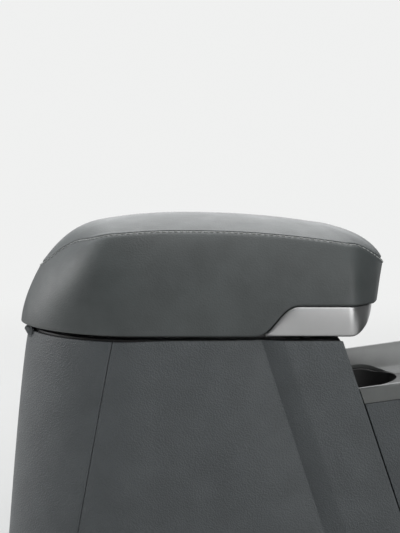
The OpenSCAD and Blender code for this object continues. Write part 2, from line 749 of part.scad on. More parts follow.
// Space behind the front edges of the side panels
module behind_panels(gap) {
    for (s = [0, 1]) mirror([0, s, 0])
        translate([edge_x + gap, body_hw - wall_t - seat, rim_h]) rotate([0, -atan(edge_slope), 0])
            rotate([0, 90, 0]) translate([-rim_h, 0, -rim_h]) cube([2.5 * rim_h, 30, rim_h]);
}
module deck_frame() {
    step = wall_t + seat;
    color([0.33, 0.34, 0.34]) body_place() difference() {
        union() {
            intersection() {
                deck_sheet();
                deck_plan(upstand_x, part_gap + step);
            }
            intersection() {
                deck_sheet();
                deck_plan(upstand_x, part_gap);
                deck_slab(-rail_side_h, 5);
            }
            intersection() {
                deck_end(part_gap, step + wall_t);
                deck_slab(-rail_side_h, 0);
            }
            intersection() {
                deck_end(part_gap + step, wall_t);
                deck_slab(-floor_drop - wall_t, -1);
            }
            translate([upstand_x, -body_hw + wall_t + seat, crest_at(upstand_x) - floor_drop - wall_t])
                cube([upstand_t, 2 * (body_hw - wall_t - seat),
                      rim_h - crest_at(upstand_x) + floor_drop + wall_t]);
        }
        behind_panels(part_gap);
        difference() {
            well_shape(0);
            translate([0, -rim_h, 0]) cube([upstand_x + upstand_t, 2 * rim_h, 2 * rim_h]);
        }
        for (s = [0, 1]) mirror([0, s, 0])
            translate([upstand_x - 1, web_y - seat, 0])
                cube([upstand_t + 2, web_t + 2 * seat + 40, crest_at(upstand_x) - sheet_low(web_y) + seat]);
    }
}

cup_floor = crest_at(cup_x) - floor_drop - cup_depth;
tray_floor = crest_at(tray_x0) - floor_drop - tray_depth;
// Black insert with the cup wells and the tray in one moulding
module cup_tray() {
    g = 0.4;
    flange = 5;
    color([0.07, 0.07, 0.07]) body_place() difference() {
        union() {
            intersection() {
                under_deck(0.1);
                translate([0, 0, cup_floor - cup_wall]) union() {
                    cup_spots() cylinder(r = cup_r + cup_wall, h = rim_h);
                }
            }
            intersection() {
                union() {
                    cup_spots() cylinder(r = cup_hole_r - g, h = 2 * rim_h);
                    translate([cup_x - 12 + g, -14 + g, 0]) cube([60, 28 - 2 * g, 2 * rim_h]);
                    linear_extrude(2 * rim_h)
                        polygon(rounded_box(cup_x + 20 + g, tray_x0 + tray_l - g, tray_w / 2 - g, 6, 12));
                }
                on_deck() translate([-60, -rim_h, -floor_drop - wall_t])
                    cube([console_l, 2 * rim_h, wall_t]);
            }
            intersection() {
                translate([0, 0, tray_floor - cup_wall]) linear_extrude(rim_h)
                    polygon(rounded_box(tray_x0 - cup_wall, tray_x0 + tray_l - 2, tray_w / 2 - 2, 8, 10));
                on_deck() translate([-60, -rim_h, -floor_drop - 150])
                    cube([console_l, 2 * rim_h, 150]);
            }
            intersection() {
                union() {
                    cup_spots() cylinder(r = cup_hole_r + flange, h = 2 * rim_h);
                    linear_extrude(2 * rim_h)
                        polygon(rounded_box(cup_x - 20, tray_x0 + tray_l + flange, tray_w / 2 + flange, 6, 12));
                }
                on_deck() translate([-60, -floor_w / 2 + 10, -floor_drop - 2 * wall_t - 0.05])
                    cube([console_l, floor_w - 20, wall_t]);
                translate([upstand_x + upstand_t + 1, -rim_h, 0]) cube(2 * rim_h);
            }
        }
        cup_spots() translate([0, 0, cup_floor]) cylinder(r = cup_r, h = rim_h);
        translate([0, 0, tray_floor]) linear_extrude(rim_h)
            polygon(rounded_box(tray_x0, tray_x0 + tray_l - 2 - cup_wall, tray_w / 2 - 2 - cup_wall, 6, 8));
        translate([0, 0, 0]) cube([upstand_x + upstand_t + 0.6, 2 * rim_h, 4 * rim_h], center = true);
    }
}
mat_t = 1.6;
module cup_mats() {
    color([0.1, 0.1, 0.1]) body_place() cup_spots()
        translate([0, 0, cup_floor]) cylinder(r = cup_r - 1, h = mat_t);
}
module tray_mat() {
    color([0.1, 0.1, 0.1]) body_place() translate([0, 0, tray_floor]) linear_extrude(mat_t)
        polygon(rounded_box(tray_x0 + 1, tray_x0 + tray_l - 3 - cup_wall, tray_w / 2 - 3 - cup_wall, 5, 7));
}

// Side of the deck, from the floor up to the deck frame
skirt_x1 = front_x - front_corner_r;
module deck_skirt() {
    tilt = atan(side_draft / rim_h);
    low = edge_x + edge_slope * rim_h + part_gap;
    top_at = function (x) crest_at(x) - rail_side_h / cos(deck_pitch) - 0.4;
    x_top = edge_x + part_gap + edge_slope * (rim_h - top_at(edge_x + 15));
    color([0.3, 0.31, 0.31]) body_place()
        translate([0, -body_hw - side_draft, 0]) rotate([90 - tilt, 0, 0])
            mirror([0, 0, 1]) linear_extrude(wall_t)
                polygon([[low, 0], [skirt_x1 - part_gap / 2, 0],
                         [skirt_x1 - part_gap / 2, top_at(skirt_x1)], [x_top, top_at(x_top)]]);
}
module deck_skirt_right() deck_skirt();
module deck_skirt_left() mirror([0, 1, 0]) deck_skirt();

module front_cover() {
    steps = 5;
    arc = function (z, g) [for (i = [0 : steps])
        let (a = -90 + 90 * i / steps, r = front_corner_r - g)
        [skirt_x1 + part_gap / 2 + (r - part_gap / 2) * cos(a),
         front_corner_r - half_w(z) + r * sin(a), z]];
    row = function (z, g) let (a = arc(z, g))
        concat(a, [for (i = [steps : -1 : 0]) [a[i][0], -a[i][1], z]]);
    top = crest_at(skirt_x1) - rail_side_h / cos(deck_pitch) - 0.4;
    color([0.3, 0.31, 0.31]) body_place()
        open_shell([for (r = [0, 0.5, 1]) row(r * top, 0)], [for (r = [0, 0.5, 1]) row(r * top, wall_t)]);
}

// Structure
web_x1 = skirt_x1 - 4;
module carrier() {
    drop = sheet_low(web_y) + seat;
    web = [[web_x0, 0], [web_x1, 0], [web_x1, crest_at(web_x1) - drop],
           [upstand_x - seat, crest_at(upstand_x) - drop], [upstand_x - seat, bin_top - flange_t],
           [web_x0, bin_top - flange_t]];
    front_wall = crest_at(web_x1) - floor_drop - wall_t - 8;
    color([0.1, 0.1, 0.1]) body_place() difference() {
        union() {
            for (s = [0, 1]) mirror([0, s, 0]) {
                translate([0, web_y + web_t, 0]) rotate([90, 0, 0]) linear_extrude(web_t) polygon(web);
                translate([nose_x, web_y, 0])
                    cube([web_x1 - nose_x, half_w(flange_t) - wall_t - web_y - 0.2, flange_t]);
            }
            translate([web_x0, -web_y - eps, 0]) cube([cross_t, 2 * web_y + 2 * eps, bin_floor - bin_t - seat]);
            translate([cross_x, -web_y - eps, 0]) cube([cross_t, 2 * web_y + 2 * eps, bin_top - flange_t]);
            translate([web_x1 - cross_t, -web_y - eps, 0]) cube([cross_t, 2 * web_y + 2 * eps, front_wall]);
            for (x = [bolt_x0, bolt_x0 + bolt_dx])
                translate([x - pad_l / 2 + 6, -web_y - eps, 0]) cube([pad_l, 2 * web_y + 2 * eps, pad_t]);
            for (s = [-1, 1])
                translate([cross_x + cross_t - eps, s * wire_w / 2 - 5, catch_z - 32]) cube([12, 10, 14]);
        }
        for (x = [bolt_x0, bolt_x0 + bolt_dx], s = [-1, 1])
            translate([x, s * bolt_dy / 2, -1]) cylinder(r = bolt_r, h = pad_t + 2);
        for (s = [-1, 1])
            translate([catch_x, s * wire_w / 2, catch_z - 24]) cylinder(r = wire_r + 0.02, h = 24);
        for (s = [0, 1]) mirror([0, s, 0]) panel_towers()
            cylinder(r = screw_r + 0.1, h = web_y + web_t + 1);
    }
}

function bin_plan(g) = rounded_box(bin_x0 - g, bin_x1 + g, bin_w / 2 + g, bin_rear_r + g, bin_front_r + g);
module storage_bin() {
    color([0.09, 0.09, 0.09]) body_place() difference() {
        union() {
            translate([0, 0, bin_floor - bin_t]) linear_extrude(bin_top - bin_floor + bin_t)
                polygon(bin_plan(bin_t));
            translate([0, 0, bin_top - flange_t]) linear_extrude(flange_t)
                intersection() {
                    polygon(bin_plan(bin_t + 6.2));
                    polygon(rim_plan(wall_t + 2 * seat));
                    translate([-2 * console_l, -rim_h]) square([2 * console_l + cross_x + cross_t, 2 * rim_h]);
                }
        }
        translate([0, 0, bin_floor]) linear_extrude(rim_h) polygon(bin_plan(0));
    }
}
module bin_mat() {
    color([0.13, 0.13, 0.13]) body_place() translate([0, 0, bin_floor]) linear_extrude(2)
        polygon(bin_plan(-1));
}

rim_steps = 12;
// Plan of the rim inside the panels
function rim_plan(g) =
    let (r = concat(
            [for (i = [0 : rim_steps]) let (p = nose_point(i / rim_steps, rim_h, g)) [p[0], p[1]]],
            [for (c = panel_cols) if (c[0] < upstand_x - 4) [c[0], fold(c[0], rim_h) - body_hw + g]],
            [[upstand_x - 0.2, g - body_hw]]))
    concat(r, [for (i = [len(r) - 1 : -1 : 1]) [r[i][0], -r[i][1]]]);
bumper_spots = [[-96, lid_w / 2 - 29], [98, lid_w / 2 - 21]];
module bin_surround() {
    slot_x0 = catch_x - 4;
    color([0.05, 0.05, 0.05]) body_place() translate([0, 0, bin_top]) difference() {
        linear_extrude(surround_t) polygon(rim_plan(wall_t + 2 * seat));
        translate([0, 0, -1]) linear_extrude(surround_t + 2) polygon(bin_plan(-0.5));
        translate([slot_x0, -wire_w / 2 - 3, -1])
            cube([upstand_x - slot_x0 - 3, wire_w + 6, surround_t + 2]);
        translate([-body_back - 10, -notch_w / 2, -1])
            cube([bracket_x + body_back + 10 - leaf_t - 2, notch_w, surround_t + 2]);
        for (p = bumper_spots, s = [-1, 1])
            translate([p[0], s * p[1], 1.5]) cylinder(r = 3, h = surround_t);
    }
}
module lid_bumpers() {
    color([0.08, 0.08, 0.08]) body_place() for (p = bumper_spots, s = [-1, 1])
        translate([p[0], s * p[1], bin_top + 1.5]) {
            cylinder(r = 2.9, h = surround_t - 1.5 + eps);
            translate([0, 0, surround_t - 1.5]) cylinder(r = 5, h = lid_gap - seat);
        }
}

carrier();
rear_cover();
side_panel_right();
side_panel_left();
deck_skirt_right();
deck_skirt_left();
front_cover();
deck_frame();
cup_tray();
cup_mats();
tray_mat();
storage_bin();
bin_mat();
bin_surround();
lid_bumpers();
hinge_bracket();
hinge_screws();
hinge_pin();
catch_spring();
panel_screws();
lid_pan();
lid_liner();
lid_foam();
lid_top_cover();
lid_side_band();
front_trim();
hinge_leaf();
liner_screws();
latch_pin();
latch_paddle();
latch_spring();
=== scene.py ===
import math
import bmesh
import bpy
from bpy.props import FloatProperty, FloatVectorProperty, IntProperty, PointerProperty
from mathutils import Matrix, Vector


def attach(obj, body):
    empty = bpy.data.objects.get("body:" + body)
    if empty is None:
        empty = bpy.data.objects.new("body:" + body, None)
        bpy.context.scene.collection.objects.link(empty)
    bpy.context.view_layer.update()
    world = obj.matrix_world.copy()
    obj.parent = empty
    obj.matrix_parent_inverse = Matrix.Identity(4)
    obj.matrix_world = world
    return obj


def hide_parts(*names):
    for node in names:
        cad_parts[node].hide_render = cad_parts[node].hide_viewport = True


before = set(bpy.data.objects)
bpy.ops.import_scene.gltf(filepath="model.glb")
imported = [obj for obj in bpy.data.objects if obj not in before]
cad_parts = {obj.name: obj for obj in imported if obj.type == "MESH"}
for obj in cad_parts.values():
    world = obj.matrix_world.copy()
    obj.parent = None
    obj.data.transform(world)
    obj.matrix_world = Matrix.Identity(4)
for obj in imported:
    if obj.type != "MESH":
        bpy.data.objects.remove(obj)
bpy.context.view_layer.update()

bl_info = {
    "name": "Car Centre Console",
    "version": (1, 0, 0),
    "blender": (4, 5, 0),
    "location": "3D View > Sidebar > Console",
    "description": "Dresses a car centre console: padded armrest lid, silver trim, grained panels and deck",
    "category": "Object",
}

MM = 0.001

# Sizes of the console, in millimetres, as in the part's source
LID_BACK, LID_FRONT, LID_HALF, LID_H = 179.0, 167.0, 105.0, 108.0
NOSE_L, FRONT_BOW, CORNER_R = 137.0, 9.5, 22.0
LID_X, LID_Z, RIM_H = -122.0, 253.6, 250.0
KNEE_SIDE, KNEE_REAR, KNEE_AHEAD = 17.0, 22.0, 13.0
CROWN_X, SPINE_X0, SPINE_X1 = -20.0, -100.0, 105.0
TRIM_H, TRIM_T, TRIM_START, TRIM_SLANT = 29.0, 2.5, 58.0, 24.0
BODY_BACK, REAR_LEAN, BODY_HALF, SIDE_DRAFT = 171.0, 27.0, 104.0, 4.0
WALL, FOLD_DEPTH, PART_GAP = 3.0, 7.5, 0.8
FRONT_X, FRONT_R = 442.0, 20.0
CREST_X, CREST_Z, PITCH, RAIL_SIDE = 164.0, 208.0, math.radians(8.1), 14.0
UPSTAND_X, LIP_REACH = 121.0, 8.0
FOLD_X, FOLD_SLOPE = 56.0, 0.33
HINGE_X = 3 - BODY_BACK
NOSE_X = NOSE_L - LID_BACK
SIDE_END = (TRIM_START + TRIM_SLANT + 130) / 2
KNEE_FRONT_Z, KNEE_REAR_Z = 0.574 * LID_H, 0.556 * LID_H


# ---------------------------------------------------------------- shapes

def mix(a, b, t):
    return a + (b - a) * t


def limit(t):
    return min(1.0, max(0.0, t))


def ease(t):
    t = limit(t)
    return t * t * (3 - 2 * t)


def rounded_ramp(x, r):
    """0 before 0 and 1 after 1, with the two corners rounded by r."""
    def soft(v):
        return 0.0 if v < -r else v if v > r else (v + r) ** 2 / (4 * r)
    return soft(x) - soft(x - 1)


def nose(back, half, t):
    p = ((-back, 0.0), (-back, -0.37 * half), (NOSE_X - 0.62 * (back + NOSE_X), -1.06 * half), (NOSE_X, -half))
    w = ((1 - t) ** 3, 3 * t * (1 - t) ** 2, 3 * t * t * (1 - t), t ** 3)
    return Vector((sum(a * q[0] for a, q in zip(w, p)), sum(a * q[1] for a, q in zip(w, p))))


def lid_plan(p, back, front, half, r, bow):
    """Point of a lid outline: p runs 0-1 round the rear, 1-2 along the side, 2-2.4 to the
    corner, 2.4-3.4 round it and 3.4-4.4 to the middle of the front."""
    lean = math.atan(2 * bow / (half - r * 0.68))
    x1 = front - bow - r * math.cos(lean)
    y1 = half - r + r * math.sin(lean)
    if p <= 1:
        return nose(back, half, max(0.0, p))
    if p <= 2:
        return Vector((mix(NOSE_X, SIDE_END, p - 1), -half))
    if p <= 2.4:
        return Vector((mix(SIDE_END, x1, (p - 2) / 0.4), -half))
    if p <= 3.4:
        b = mix(math.pi / 2, lean, p - 2.4)
        return Vector((x1 + r * math.cos(b), r - half - r * math.sin(b)))
    y = y1 * (1 - min(1.0, p - 3.4))
    return Vector((front - bow * (y / y1) ** 2, -y))


def edge(p):
    return lid_plan(p, LID_BACK, LID_FRONT, LID_HALF, CORNER_R, FRONT_BOW)


def knee(p):
    return lid_plan(p, LID_BACK - KNEE_REAR, LID_FRONT + KNEE_AHEAD, LID_HALF - KNEE_SIDE,
                    CORNER_R + 14, FRONT_BOW + 2)


def inward(line, p):
    if p < 0.03:
        return Vector((1.0, 0.0))
    if p > 4.37:
        return Vector((-1.0, 0.0))
    d = (line(p + 0.03) - line(p - 0.03)).normalized()
    return Vector((-d[1], d[0]))


def crest(x):
    if x < CROWN_X:
        return LID_H - 7.1 * ((CROWN_X - x) / 80) ** 2
    return LID_H - 8.3 * ((x - CROWN_X) / 125) ** 2.2


def crest_slope(x):
    return (crest(x + 1) - crest(x - 1)) / 2


def front_part(p):
    return ease(max(0.0, -inward(knee, p)[0]) * 1.05) if p > 2 else 0.0


def rear_part(p):
    return ease((-90 - edge(p)[0]) / (LID_BACK - 90))


def knee_height(p):
    x = knee(p)[0]
    side = 0.875 * crest(min(x, 140))
    front = mix(side, KNEE_FRONT_Z, ease((x - 140) / (LID_FRONT + KNEE_AHEAD - 140)))
    return mix(front, KNEE_REAR_Z, rear_part(p))


def lid_point(p, t, g=0.0):
    """Point of the lid: t runs 0-1 up the wall and 1-2 over the top, g millimetres inside."""
    u, f = min(t, 1.0), max(0.0, t - 1)
    fp, rp = front_part(p), rear_part(p)
    across = mix(mix(u ** 3.8, u, fp), u ** 1.6, rp)
    swell = 1.5 * math.sin(math.pi * u) * (1 - rp)
    foot = edge(p) + inward(edge, p) * (g - swell)
    wall = foot.lerp(knee(p) + inward(knee, p) * g, across)
    high = knee_height(p) - g * 0.8
    if t <= 1:
        return Vector((wall[0], wall[1], t * high))
    x = min(SPINE_X1, max(SPINE_X0, wall[0]))
    rise = (1 - (1 - f) ** 1.9) ** (1 / (1 + 0.6 * fp))
    along = mix(wall[0], x, f)
    top = crest(x) + crest_slope(x) * (along - x) * f * f + 0.8
    return Vector((along, wall[1] * (1 - f), mix(high, top - g, rise)))


def lid_world(v):
    return Vector((v[0] + LID_X, v[1], v[2] + LID_Z)) * MM


def seam_t(p):
    x = edge(p)[0] + LID_BACK
    return (1 + 0.06 * (1 - ease((x - LID_BACK - 140) / 34))
            + 0.22 * math.exp(-((x - 37) / 30) ** 2) - 0.12 * (1 - ease(x / 19)))


def hem_z(x):
    return TRIM_H * limit(rounded_ramp((x - TRIM_START) / TRIM_SLANT, 0.34))


def spread(u, knots):
    """Share of the way round at u, from a list of (u, p) pairs."""
    for (u0, p0), (u1, p1) in zip(knots, knots[1:]):
        if u <= u1 + 1e-9:
            return mix(p0, p1, (u - u0) / (u1 - u0))
    return knots[-1][1]


ROUND_LID = ((0.0, 0.0), (0.28, 1.0), (0.6, 2.0), (0.66, 2.4), (0.8, 3.4), (1.0, 4.4))


def half_width(z):
    return BODY_HALF + SIDE_DRAFT * (1 - z / RIM_H)


def back_at(z):
    return BODY_BACK + REAR_LEAN * (1 - z / RIM_H) ** 0.78


def part_at(z):
    return mix(0.83, 0.66, 1 - z / RIM_H)


def nose_wall(u, z, g):
    a = nose(back_at(z), half_width(z), u)
    b = nose(back_at(z), half_width(z), u + 0.01) - nose(back_at(z), half_width(z), u - 0.01)
    d = b.normalized()
    return Vector((a[0] - d[1] * g, a[1] + d[0] * g, z))


def fold(x, z):
    u = x - FOLD_X - FOLD_SLOPE * (RIM_H - z)
    depth = FOLD_DEPTH * ease((z - 20) / 90)
    return depth * (limit(1 + u / 60) ** 2 if u < 0 else limit(1 - u / 22) ** 1.4)


def sag(x, z):
    """How far the panels' upper edge drops round the rear."""
    return 1.6 * ease((NOSE_X + 20 - x) / 60) * (z / RIM_H) ** 6


def crest_at(x):
    return CREST_Z + math.tan(PITCH) * (x - CREST_X)


def body_world(v):
    return Vector((v[0] + LID_X, v[1], v[2])) * MM


# ---------------------------------------------------------------- modelling helpers

def look():
    return bpy.context.scene.console_look


def start_clean():
    """An operator works on all that is selected, so nothing stays selected."""
    if bpy.context.object and bpy.context.object.mode != "OBJECT":
        bpy.ops.object.mode_set(mode="OBJECT")
    bpy.ops.object.select_all(action="DESELECT")


def pick(*objs):
    start_clean()
    for o in objs:
        o.select_set(True)
    bpy.context.view_layer.objects.active = objs[0]


def named(name):
    piece = bpy.context.object
    piece.name = name
    piece.data.name = name
    return piece


def apply_all(piece):
    pick(piece)
    for m in list(piece.modifiers):
        bpy.ops.object.modifier_apply(modifier=m.name)


def settle_place(piece):
    pick(piece)
    bpy.ops.object.transform_apply(location=True, rotation=True, scale=True)


def smooth(piece, angle=35):
    pick(piece)
    bpy.ops.object.shade_smooth_by_angle(angle=math.radians(angle))


def sheet_piece(name, cols, rows, place):
    """A grid primitive whose points are moved to place(u, v), u and v from 0 to 1."""
    start_clean()
    bpy.ops.mesh.primitive_grid_add(x_subdivisions=cols, y_subdivisions=rows, size=1)
    piece = named(name)
    for v in piece.data.vertices:
        v.co = place(v.co[0] + 0.5, v.co[1] + 0.5)
    return piece


def mirrored(piece, merge=0.0002):
    """The other half, across the console's middle plane."""
    m = piece.modifiers.new("other half", "MIRROR")
    m.use_axis = (False, True, False)
    m.merge_threshold = merge
    apply_all(piece)
    edit_mesh(piece, lambda: bpy.ops.mesh.remove_doubles(threshold=merge))


def edit_mesh(piece, *steps):
    pick(piece)
    bpy.ops.object.mode_set(mode="EDIT")
    bpy.ops.mesh.select_all(action="SELECT")
    for step in steps:
        step()
    bpy.ops.object.mode_set(mode="OBJECT")


def face_out(piece):
    edit_mesh(piece, lambda: bpy.ops.mesh.normals_make_consistent(inside=False))


def thicken(piece, t, even=True):
    m = piece.modifiers.new("wall", "SOLIDIFY")
    m.thickness = t * MM
    m.offset = -1
    m.use_even_offset = even
    apply_all(piece)


def bevel(piece, width, segments=2, angle=40):
    m = piece.modifiers.new("rounding", "BEVEL")
    m.width = width * MM
    m.segments = segments
    m.limit_method = "ANGLE"
    m.angle_limit = math.radians(angle)
    m.use_clamp_overlap = True
    m.harden_normals = False
    apply_all(piece)


def softened(node, name, material, width=0.5, segments=2, angle=32):
    """A finished copy of a plain CAD node: merged, its edges rounded and its curves smooth."""
    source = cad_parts[node]
    start_clean()
    piece = source.copy()
    piece.data = source.data.copy()
    bpy.context.collection.objects.link(piece)
    piece.parent = None
    piece.matrix_world = source.matrix_world
    piece.name = name
    piece.data.name = name
    piece.hide_render = False
    piece.data.materials.clear()
    edit_mesh(piece,
              lambda: bpy.ops.mesh.remove_doubles(threshold=0.00001),
              lambda: bpy.ops.mesh.dissolve_limited(angle_limit=math.radians(1.5)))
    if width:
        bevel(piece, width, segments, angle)
    smooth(piece, 30)
    piece.data.materials.append(material)
    return piece


def put(piece, body, slot, *nodes):
    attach(piece, body)
    if nodes:
        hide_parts(*nodes)
    return piece


# ---------------------------------------------------------------- materials

def node_tree(name):
    m = bpy.data.materials.new(name)
    m.use_nodes = True
    nt = m.node_tree
    nt.nodes.clear()
    out = nt.nodes.new("ShaderNodeOutputMaterial")
    bsdf = nt.nodes.new("ShaderNodeBsdfPrincipled")
    nt.links.new(bsdf.outputs[0], out.inputs[0])
    coord = nt.nodes.new("ShaderNodeTexCoord")
    return m, nt, bsdf, coord.outputs["Object"]


def noise(nt, where, scale, detail=3.0, rough=0.5):
    n = nt.nodes.new("ShaderNodeTexNoise")
    n.inputs["Scale"].default_value = scale
    n.inputs["Detail"].default_value = detail
    n.inputs["Roughness"].default_value = rough
    nt.links.new(where, n.inputs["Vector"])
    return n.outputs["Fac"]


def cells(nt, where, scale, feature="SMOOTH_F1"):
    n = nt.nodes.new("ShaderNodeTexVoronoi")
    n.feature = feature
    n.inputs["Scale"].default_value = scale
    if feature == "SMOOTH_F1":
        n.inputs["Smoothness"].default_value = 0.4
    nt.links.new(where, n.inputs["Vector"])
    return n.outputs["Distance"]


def two_tone(nt, fac, dark, light, low=0.35, high=0.65):
    r = nt.nodes.new("ShaderNodeValToRGB")
    r.color_ramp.elements[0].position = low
    r.color_ramp.elements[1].position = high
    r.color_ramp.elements[0].color = (*dark, 1)
    r.color_ramp.elements[1].color = (*light, 1)
    nt.links.new(fac, r.inputs[0])
    return r.outputs[0]


def levels(nt, fac, low, high):
    r = nt.nodes.new("ShaderNodeMapRange")
    r.inputs["To Min"].default_value = low
    r.inputs["To Max"].default_value = high
    nt.links.new(fac, r.inputs["Value"])
    return r.outputs[0]


def math_node(nt, kind, a, b):
    n = nt.nodes.new("ShaderNodeMath")
    n.operation = kind
    for i, v in enumerate((a, b)):
        if isinstance(v, (int, float)):
            n.inputs[i].default_value = v
        else:
            nt.links.new(v, n.inputs[i])
    return n.outputs[0]


def bump(nt, bsdf, height, strength, distance):
    b = nt.nodes.new("ShaderNodeBump")
    b.inputs["Strength"].default_value = strength
    b.inputs["Distance"].default_value = distance
    nt.links.new(height, b.inputs["Height"])
    nt.links.new(b.outputs[0], bsdf.inputs["Normal"])


def shade(c, k):
    return tuple(x * k for x in c)


def leather(name, colour):
    m, nt, bsdf, at = node_tree(name)
    wear = noise(nt, at, 26, 4)
    tone = two_tone(nt, wear, shade(colour, 0.86), shade(colour, 1.14))
    nt.links.new(tone, bsdf.inputs["Base Color"])
    nt.links.new(levels(nt, noise(nt, at, 60, 3), 0.4, 0.54), bsdf.inputs["Roughness"])
    pebble = cells(nt, at, 620)
    pores = noise(nt, at, 1900, 2)
    creases = noise(nt, at, 140, 4, 0.6)
    height = math_node(nt, "ADD", math_node(nt, "MULTIPLY", pebble, 0.6), math_node(nt, "MULTIPLY", pores, 0.25))
    height = math_node(nt, "ADD", height, math_node(nt, "MULTIPLY", creases, 0.5))
    bump(nt, bsdf, height, 0.4, 0.0005)
    bsdf.inputs["Specular IOR Level"].default_value = 0.5
    return m


def grained_plastic(name, colour, rough=0.5, grain=900, strength=0.25, depth=0.0003):
    m, nt, bsdf, at = node_tree(name)
    tone = two_tone(nt, noise(nt, at, 35, 4), shade(colour, 0.92), shade(colour, 1.08))
    nt.links.new(tone, bsdf.inputs["Base Color"])
    nt.links.new(levels(nt, noise(nt, at, 90, 3), rough - 0.05, rough + 0.06), bsdf.inputs["Roughness"])
    height = math_node(nt, "ADD", cells(nt, at, grain), math_node(nt, "MULTIPLY", noise(nt, at, grain * 2.2, 2), 0.4))
    bump(nt, bsdf, height, strength, depth)
    return m


def satin_metal(name, colour, rough=0.3, metallic=1.0):
    m, nt, bsdf, at = node_tree(name)
    tone = two_tone(nt, noise(nt, at, 40, 2), shade(colour, 0.97), shade(colour, 1.03))
    nt.links.new(tone, bsdf.inputs["Base Color"])
    nt.links.new(levels(nt, noise(nt, at, 60, 2), rough - 0.02, rough + 0.03), bsdf.inputs["Roughness"])
    bsdf.inputs["Metallic"].default_value = metallic
    bump(nt, bsdf, noise(nt, at, 5200, 2), 0.03, 0.00005)
    return m


def soft_rubber(name, colour):
    m, nt, bsdf, at = node_tree(name)
    tone = two_tone(nt, noise(nt, at, 80, 4), shade(colour, 0.8), shade(colour, 1.25))
    nt.links.new(tone, bsdf.inputs["Base Color"])
    nt.links.new(levels(nt, noise(nt, at, 200, 3), 0.6, 0.78), bsdf.inputs["Roughness"])
    bump(nt, bsdf, noise(nt, at, 1500, 3), 0.2, 0.0002)
    return m


def thread(name, colour):
    m, nt, bsdf, at = node_tree(name)
    tone = two_tone(nt, noise(nt, at, 900, 3), shade(colour, 0.8), shade(colour, 1.15))
    nt.links.new(tone, bsdf.inputs["Base Color"])
    bsdf.inputs["Roughness"].default_value = 0.7
    bump(nt, bsdf, noise(nt, at, 3200, 2), 0.3, 0.0001)
    return m


MATERIALS = {}


def material(kind):
    if kind not in MATERIALS:
        c = look()
        MATERIALS[kind] = {
            "leather": lambda: leather("dark leather", tuple(c.leather)),
            "thread": lambda: thread("light thread", tuple(c.stitch)),
            "body": lambda: grained_plastic("grained body plastic", tuple(c.body), 0.48, 700, 0.8, 0.0006),
            "deck": lambda: grained_plastic("satin deck plastic", tuple(c.deck), 0.42, 1100, 0.12),
            "black": lambda: grained_plastic("black moulding", tuple(c.black), 0.5, 800, 0.2),
            "rubber": lambda: soft_rubber("black rubber", (0.02, 0.02, 0.02)),
            "silver": lambda: satin_metal("satin silver", tuple(c.silver), 0.34),
            "steel": lambda: satin_metal("plated steel", (0.45, 0.45, 0.46), 0.32),
            # Grey paint on the hinge, made lighter than the body so that the hinge in the lid's shade matches the lit
            # body: real grey paint, partly painted light against shade.
            "shade-lightened steel": lambda: satin_metal("grey steel paint lightened against the lid's shade", (0.16, 0.17, 0.175), 0.5, 0.1),
        }[kind]()
    return MATERIALS[kind]


# ---------------------------------------------------------------- settings

class ConsoleLook(bpy.types.PropertyGroup):
    """Colours and sizes of the dressed console."""
    leather: FloatVectorProperty(name="Leather", description="Colour of the lid's leather", subtype="COLOR",
                                 size=3, min=0, max=1, default=(0.058, 0.065, 0.065))
    stitch: FloatVectorProperty(name="Stitching", description="Colour of the topstitching", subtype="COLOR",
                                size=3, min=0, max=1, default=(0.34, 0.35, 0.34))
    body: FloatVectorProperty(name="Body", description="Colour of the grained body panels", subtype="COLOR",
                              size=3, min=0, max=1, default=(0.062, 0.069, 0.073))
    deck: FloatVectorProperty(name="Deck", description="Colour of the satin deck moulding", subtype="COLOR",
                              size=3, min=0, max=1, default=(0.11, 0.115, 0.112))
    black: FloatVectorProperty(name="Black mouldings", description="Colour of the black mouldings",
                               subtype="COLOR", size=3, min=0, max=1, default=(0.012, 0.012, 0.012))
    silver: FloatVectorProperty(name="Silver trim", description="Colour of the silver trim", subtype="COLOR",
                                size=3, min=0, max=1, default=(0.46, 0.46, 0.46))
    seam_roll: FloatProperty(name="Seam roll", description="Radius of the leather's edges at the seam",
                             subtype="DISTANCE", unit="LENGTH", default=0.0015, min=0.0005, max=0.004)
    puff: FloatProperty(name="Puff", description="How far the padding may swell the leather",
                        subtype="DISTANCE", unit="LENGTH", default=0.003, min=0.0, max=0.008)
    stitch_pitch: FloatProperty(name="Stitch pitch", description="Distance from one stitch to the next",
                                subtype="DISTANCE", unit="LENGTH", default=0.0055, min=0.003, max=0.01)
    sim_frames: IntProperty(name="Simulation frames", description="Length of the cloth simulation",
                            default=20, min=5, max=40)


# ---------------------------------------------------------------- stage

